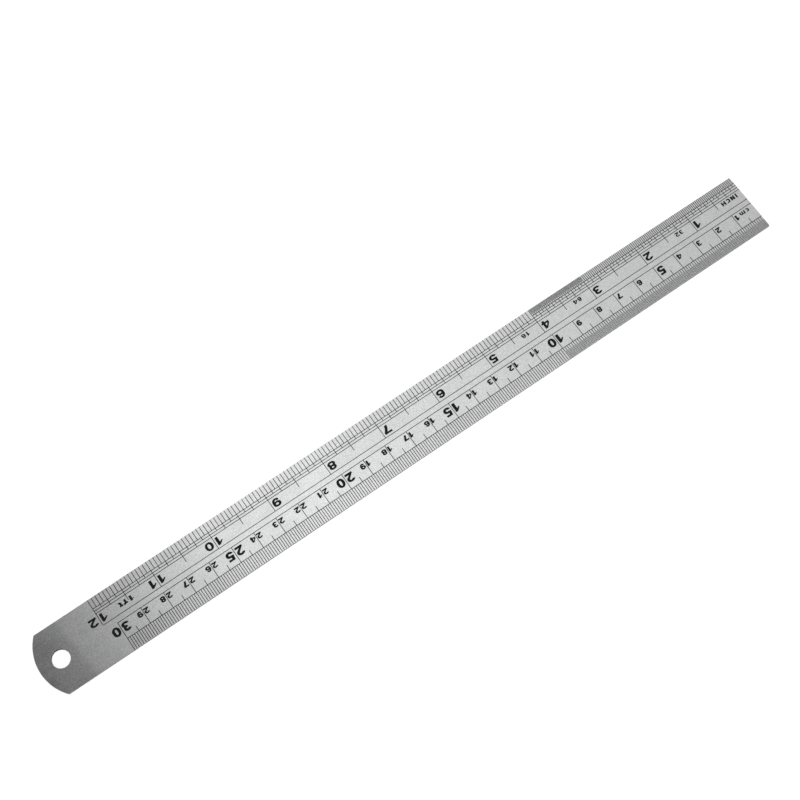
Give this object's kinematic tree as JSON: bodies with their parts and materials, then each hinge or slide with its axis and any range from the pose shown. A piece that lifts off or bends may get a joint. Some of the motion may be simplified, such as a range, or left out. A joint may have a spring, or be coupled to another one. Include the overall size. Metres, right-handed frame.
{
  "type": "steel ruler",
  "caption": "Flat stainless steel ruler with a metric and an inch scale along its two long edges, a square zero end and a rounded end with a hanging hole.",
  "frame": {"origin": "centre of the blade's length and width, on its underside", "axes": "+X along the blade from the square zero end to the hanging hole, +Y across it from the inch edge to the metric edge, +Z out of the marked face"},
  "size_m": [0.333, 0.026, 0.001],
  "materials": {
    "steel": "satin stainless, fine matt grain",
    "enamel": "baked black enamel in the etched marks, slightly matt"
  },
  "bodies": {
    "root": {"blade": "steel", "cm_label_c": "enamel", "cm_label_m": "enamel", "cm_numeral_01": "enamel", "cm_numeral_02": "enamel", "cm_numeral_03": "enamel", "cm_numeral_04": "enamel", "cm_numeral_05": "enamel", "cm_numeral_06": "enamel", "cm_numeral_07": "enamel", "cm_numeral_08": "enamel", "cm_numeral_09": "enamel", "cm_numeral_10_tens": "enamel", "cm_numeral_10_units": "enamel", "cm_numeral_15_tens": "enamel", "cm_numeral_15_units": "enamel", "cm_numeral_20_tens": "enamel", "cm_numeral_20_units": "enamel", "cm_numeral_25_tens": "enamel", "cm_numeral_25_units": "enamel", "cm_numeral_30_tens": "enamel", "cm_numeral_30_units": "enamel", "inch_label_C": "enamel", "inch_label_H": "enamel", "inch_label_I": "enamel", "inch_label_N": "enamel", "inch_numeral_01": "enamel", "inch_numeral_02": "enamel", "inch_numeral_03": "enamel", "inch_numeral_04": "enamel", "inch_numeral_05": "enamel", "inch_numeral_06": "enamel", "inch_numeral_07": "enamel", "inch_numeral_08": "enamel", "inch_numeral_09": "enamel", "inch_numeral_10_tens": "enamel", "inch_numeral_10_units": "enamel", "inch_numeral_11_tens": "enamel", "inch_numeral_11_units": "enamel", "inch_numeral_12_tens": "enamel", "inch_numeral_12_units": "enamel", "inch_scale_fill": "enamel", "metric_scale_fill": "enamel"}
  },
  "joints": []
}
